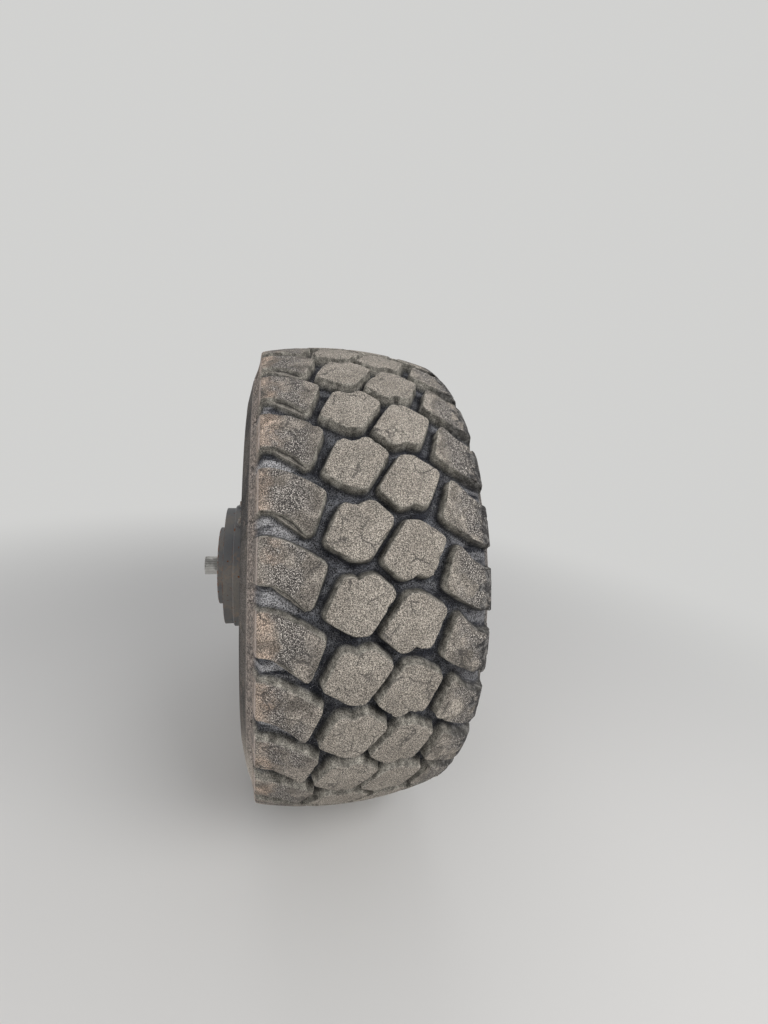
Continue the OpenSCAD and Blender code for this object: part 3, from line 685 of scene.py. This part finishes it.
# Five-piece rim
# Rolled and welded steel: the base with its disc, two flange rings, the tapered band under the outer bead,
# and the split ring that locks them, sprung into the gutter against its key. The paint is cream, chipped to
# rust along the edges and filmed with dry dust, and the lock ring and its key are plated.
rust_dark, rust_orange = (0.060, 0.022, 0.012), (0.230, 0.090, 0.036)
rust_brown, rust_bleed = (0.150, 0.068, 0.034), (0.30, 0.17, 0.09)
steel_dust = (0.335, 0.285, 0.225)
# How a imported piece's mesh is cleaned: metres between merged points, and degrees between faces that are
# joined as flat, rounded as an edge, and shaded as a crease
merged_within, flat_within, rounded_above, creased_above = 1e-5, 0.5, 30, 40


def painted(name, colour, roughness, dust):
    finish, tree, shader = new_finish(name, roughness)
    place = add(tree, "ShaderNodeTexCoord").outputs["Object"]
    edge = attribute(tree, "edge")
    dark, light = (tuple(channel * level for channel in colour) for level in (0.86, 1.06))
    coat = mix(tree, fade(tree, noise(tree, place, 3.2, 3), 0.35, 0.65), dark, light)
    broken = noise(tree, place, 75, 4)
    chips = maths(tree, "MULTIPLY", edge, fade(tree, broken, 0.50, 0.54))
    chips = maths(tree, "MAXIMUM", chips, fade(tree, noise(tree, place, 42, 3), 0.685, 0.70))
    bleed = product(tree, fade(tree, broken, 0.46, 0.56),
                    fade(tree, noise(tree, place, 9, 3), 0.50, 0.66), 0.30)
    rust = mix(tree, noise(tree, place, 160, 3), rust_dark, rust_orange)
    film = fade(tree, noise(tree, place, 5.5, 5), 0.40, 0.68, 0.12 * dust, dust)
    film = maths(tree, "MULTIPLY", film, fade(tree, noise(tree, place, 120, 3), 0.25, 0.60, 0.55, 1.0))
    coat = mix(tree, bleed, coat, rust_bleed)
    coat = mix(tree, film, coat, steel_dust)
    coat = mix(tree, chips, coat, rust)
    tree.links.new(coat, shader.inputs["Base Color"])
    rough = maths(tree, "MAXIMUM", fade(tree, film, 0.0, 0.8, roughness, 0.92),
                  maths(tree, "MULTIPLY", chips, 0.9))
    tree.links.new(rough, shader.inputs["Roughness"])
    relief = maths(tree, "SUBTRACT", maths(tree, "MULTIPLY", noise(tree, place, 150, 3), 0.35), chips)
    bump = add(tree, "ShaderNodeBump", {"Strength": 0.35, "Distance": 0.0008, "Height": relief})
    tree.links.new(bump.outputs[0], shader.inputs["Normal"])
    return finish


def plated(name, bright, dull, roughness, rusted):
    finish, tree, shader = new_finish(name, roughness)
    place = add(tree, "ShaderNodeTexCoord").outputs["Object"]
    coat = mix(tree, fade(tree, noise(tree, place, 28, 4), 0.35, 0.65), bright, dull)
    rust_share = maths(tree, "MULTIPLY", fade(tree, noise(tree, place, 46, 5), 0.48, 0.62), rusted)
    coat = mix(tree, rust_share, coat, rust_brown)
    tree.links.new(coat, shader.inputs["Base Color"])
    tree.links.new(fade(tree, rust_share, 0.0, 0.7, 0.92, 0.05), shader.inputs["Metallic"])
    tree.links.new(fade(tree, rust_share, 0.0, 0.8, roughness, 0.88), shader.inputs["Roughness"])
    relief = noise(tree, place, 260, 3)
    bump = add(tree, "ShaderNodeBump", {"Strength": 0.3, "Distance": 0.0005, "Height": relief})
    tree.links.new(bump.outputs[0], shader.inputs["Normal"])
    return finish


def dressed(node, finish, rounding, body):
    """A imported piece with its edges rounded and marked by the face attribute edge, smooth between them."""
    bm = bmesh.new()
    bm.from_mesh(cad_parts[node].data)
    bmesh.ops.remove_doubles(bm, verts=bm.verts, dist=merged_within)
    bmesh.ops.dissolve_limit(bm, angle_limit=math.radians(flat_within), verts=bm.verts[:], edges=bm.edges[:])
    edge = bm.faces.layers.float.new("edge")
    least = math.radians(rounded_above)
    sharp = [e for e in bm.edges if len(e.link_faces) == 2 and e.calc_face_angle(0) > least]
    made = bmesh.ops.bevel(bm, geom=sharp, offset=rounding, offset_type="OFFSET", segments=3, profile=0.55,
                           affect="EDGES", clamp_overlap=True)
    for face in made["faces"]:
        face[edge] = 1
    piece = new_piece(node + "_dressed", bm, finish)
    piece.data.set_sharp_from_angle(angle=math.radians(creased_above))
    weighted = piece.modifiers.new("weighted", "WEIGHTED_NORMAL")
    weighted.keep_sharp = True
    apply_modifiers(piece)
    settle(piece, body, node)


rim_paint = painted("cream_paint", (0.60, 0.545, 0.425), 0.48, 0.55)
zinc = plated("zinc_plate", (0.36, 0.36, 0.35), (0.27, 0.26, 0.24), 0.50, 0.60)
brass = plated("dull_brass", (0.56, 0.42, 0.17), (0.30, 0.22, 0.10), 0.40, 0.15)
for node, rounding in (("rim_base", 0.0016), ("rim_disc", 0.0018), ("inner_flange", 0.0022),
                       ("outer_flange", 0.0022), ("bead_seat_band", 0.0015)):
    dressed(node, rim_paint, rounding, "wheel")
for node in ("lock_ring", "lock_key"):
    dressed(node, zinc, 0.0012, "wheel")
dressed("valve_stem", brass, 0.0008, "wheel")

# Wheel studs and nuts
# Each stud stands in the hub's flange with its head behind, and holds the disc by a nut on a loose collar.
# Studs, nuts and collars are forged steel, plated.
stud_count, stud_circle_r, stud_r, thread_pitch, thread_shown = 20, 0.250, 0.011, 0.0025, 0.004
nut_flats, nut_r, nut_h = 0.033, 0.0192, 0.0189
collar_r, collar_h = 0.0220, 0.005
head_r, head_h, head_inner_r, head_edge = 0.0176, 0.012, 0.0105, 0.0012
spun_sides, bolt_creased = 24, 32


def spun(bm, profile, middle, flats):
    """Adds a closed solid spun about a line along the axle, and cut to a hexagon where flats is given."""
    rings = []
    for radius, y in profile:
        ring = []
        for k in range(spun_sides):
            angle = 2 * math.pi * k / spun_sides
            limit = flats / 2 / math.cos(angle % (math.pi / 3) - math.pi / 6) if flats else radius
            reach = min(radius, limit)
            ring.append(bm.verts.new((middle + reach * math.cos(angle), y, reach * math.sin(angle))))
        rings.append(ring)
    for low, high in zip(rings, rings[1:]):
        for k in range(spun_sides):
            n = (k + 1) % spun_sides
            bm.faces.new((low[k], high[k], high[n], low[n]))
    bm.faces.new(rings[0])
    bm.faces.new(reversed(rings[-1]))


def threads(radius, start, end, pitch):
    """The profile of a screw's end, from its root at start to its bevelled tip."""
    count = int((end - start) / pitch)
    line = [(radius, start)]
    for k in range(count - 1):
        y = start + k * pitch
        line += [(radius, y + 0.15 * pitch), (radius * 0.91, y + 0.5 * pitch), (radius, y + 0.85 * pitch)]
    return line + [(radius, end - 0.12 * radius), (radius * 0.86, end)]


def bolted_ring(name, profiles, middle, count, first, finish, node):
    bm = bmesh.new()
    for profile, flats in profiles:
        spun(bm, profile, middle, flats)
    bmesh.ops.recalc_face_normals(bm, faces=bm.faces)
    piece = new_piece(name, bm, finish)
    piece.data.set_sharp_from_angle(angle=math.radians(bolt_creased))
    repeat_round_axle(piece, count, first=math.radians(first))
    settle(piece, "wheel", node)


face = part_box("rim_disc")[1].y
nut_face = face + collar_h
nut_end = nut_face + nut_h
head_back, stud_tip = (corner.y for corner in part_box("wheel_nuts"))
collar = [(collar_r - 0.0007, face), (collar_r, face + 0.0007), (collar_r, nut_face - 0.0012),
          (collar_r - 0.0014, nut_face)]
nut = [(nut_r - 0.0020, nut_face), (nut_r, nut_face + 0.0014), (nut_r, nut_end - 0.0026),
       (nut_r - 0.0028, nut_end), (nut_r - 0.0064, nut_end), (nut_r - 0.0076, nut_end - 0.001)]
stud_end = threads(stud_r, nut_end - thread_shown, stud_tip, thread_pitch)
stud_head = [(head_inner_r, head_back), (head_r - head_edge, head_back), (head_r, head_back + head_edge),
             (head_r, head_back + head_h)]
bolted_ring("wheel_nuts_made", ((collar, None), (nut, nut_flats), (stud_end, None), (stud_head, None)),
            stud_circle_r, stud_count, 0, zinc, "wheel_nuts")

# Planetary hub
# Castings of ductile iron, one bolted to the next: the drum that turns on the spindle's bearings, the ring
# gear's housing, and the cover with a boss over each planet pin, its cap and its drain plugs.
bolt_count, bolt_circle_r, bolt_first = 16, 0.185, 11.25
bolt_flats, bolt_r, bolt_washer_r, bolt_washer_h = 0.021, 0.0122, 0.0140, 0.003
plug_count, plug_circle_r, plug_first = 2, 0.1148, 45
plug_flats, plug_r, plug_washer_r, plug_washer_h = 0.022, 0.0128, 0.0170, 0.004
hub_paint = painted("grey_paint", (0.105, 0.112, 0.122), 0.50, 0.50)
for node, rounding in (("hub_drum", 0.0025), ("planet_housing", 0.0028), ("hub_cover", 0.0026),
                       ("centre_cap", 0.0020)):
    dressed(node, hub_paint, rounding, "wheel")

seat, top = (corner.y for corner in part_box("cover_bolts"))
head_foot = seat + bolt_washer_h
washer = [(bolt_washer_r - 0.0005, seat), (bolt_washer_r, seat + 0.0006), (bolt_washer_r, head_foot - 0.0006),
          (bolt_washer_r - 0.0008, head_foot)]
bolt_head = [(bolt_r - 0.0014, head_foot), (bolt_r, head_foot + 0.0012), (bolt_r, top - 0.0022),
             (bolt_r - 0.0022, top), (bolt_r - 0.0060, top - 0.0007)]
bolted_ring("cover_bolts_made", ((washer, None), (bolt_head, bolt_flats)), bolt_circle_r, bolt_count,
            bolt_first, zinc, "cover_bolts")

seat, top = (corner.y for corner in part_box("oil_plugs"))
head_foot = seat + plug_washer_h
washer = [(plug_washer_r - 0.0007, seat), (plug_washer_r, seat + 0.0007), (plug_washer_r, head_foot - 0.0009),
          (plug_washer_r - 0.0010, head_foot)]
plug_head = [(plug_r - 0.0015, head_foot), (plug_r, head_foot + 0.0014), (plug_r, top - 0.0024),
             (plug_r - 0.0024, top), (plug_r - 0.0070, top), (plug_r - 0.0076, top - 0.004)]
bolted_ring("oil_plugs_made", ((washer, None), (plug_head, plug_flats)), plug_circle_r, plug_count,
            plug_first, zinc, "oil_plugs")

# Axle end
# The fixed spindle bolts to the axle tube by its flange. The piston housing and the ribbed housing of the
# oil-cooled brake discs sit round its barrel, and the half shaft runs through it to the hub's sun gear.
# The housings are painted castings, and the seal carrier and the shaft are turned bright.


def turned_bright(name, colour, roughness):
    """Steel turned in a lathe: fine rings about the axle, and a thin film of oil and dust."""
    finish, tree, shader = new_finish(name, roughness, 1.0)
    place = add(tree, "ShaderNodeTexCoord").outputs["Object"]
    along = add(tree, "ShaderNodeSeparateXYZ", {0: place}).outputs["Y"]
    station = add(tree, "ShaderNodeCombineXYZ", {"X": about_axle(tree, place)[1], "Y": along}).outputs[0]
    cuts = noise(tree, station, 900)
    stain = fade(tree, noise(tree, place, 14, 5), 0.42, 0.66)
    dark = tuple(channel * 0.35 for channel in colour)
    coat = mix(tree, maths(tree, "MULTIPLY", stain, 0.75), colour, dark)
    tree.links.new(coat, shader.inputs["Base Color"])
    tree.links.new(fade(tree, stain, 0.0, 1.0, roughness, 0.68), shader.inputs["Roughness"])
    bump = add(tree, "ShaderNodeBump", {"Strength": 0.25, "Distance": 0.0004, "Height": cuts})
    tree.links.new(bump.outputs[0], shader.inputs["Normal"])
    return finish


bright_steel = turned_bright("turned_steel", (0.55, 0.54, 0.52), 0.30)
for node, rounding in (("spindle", 0.0018), ("piston_housing", 0.0022), ("brake_housing", 0.0024)):
    dressed(node, hub_paint, rounding, "axle_end")
dressed("seal_carrier", bright_steel, 0.0010, "axle_end")
dressed("brake_ports", zinc, 0.0007, "axle_end")
dressed("half_shaft", bright_steel, 0.0007, "half_shaft")
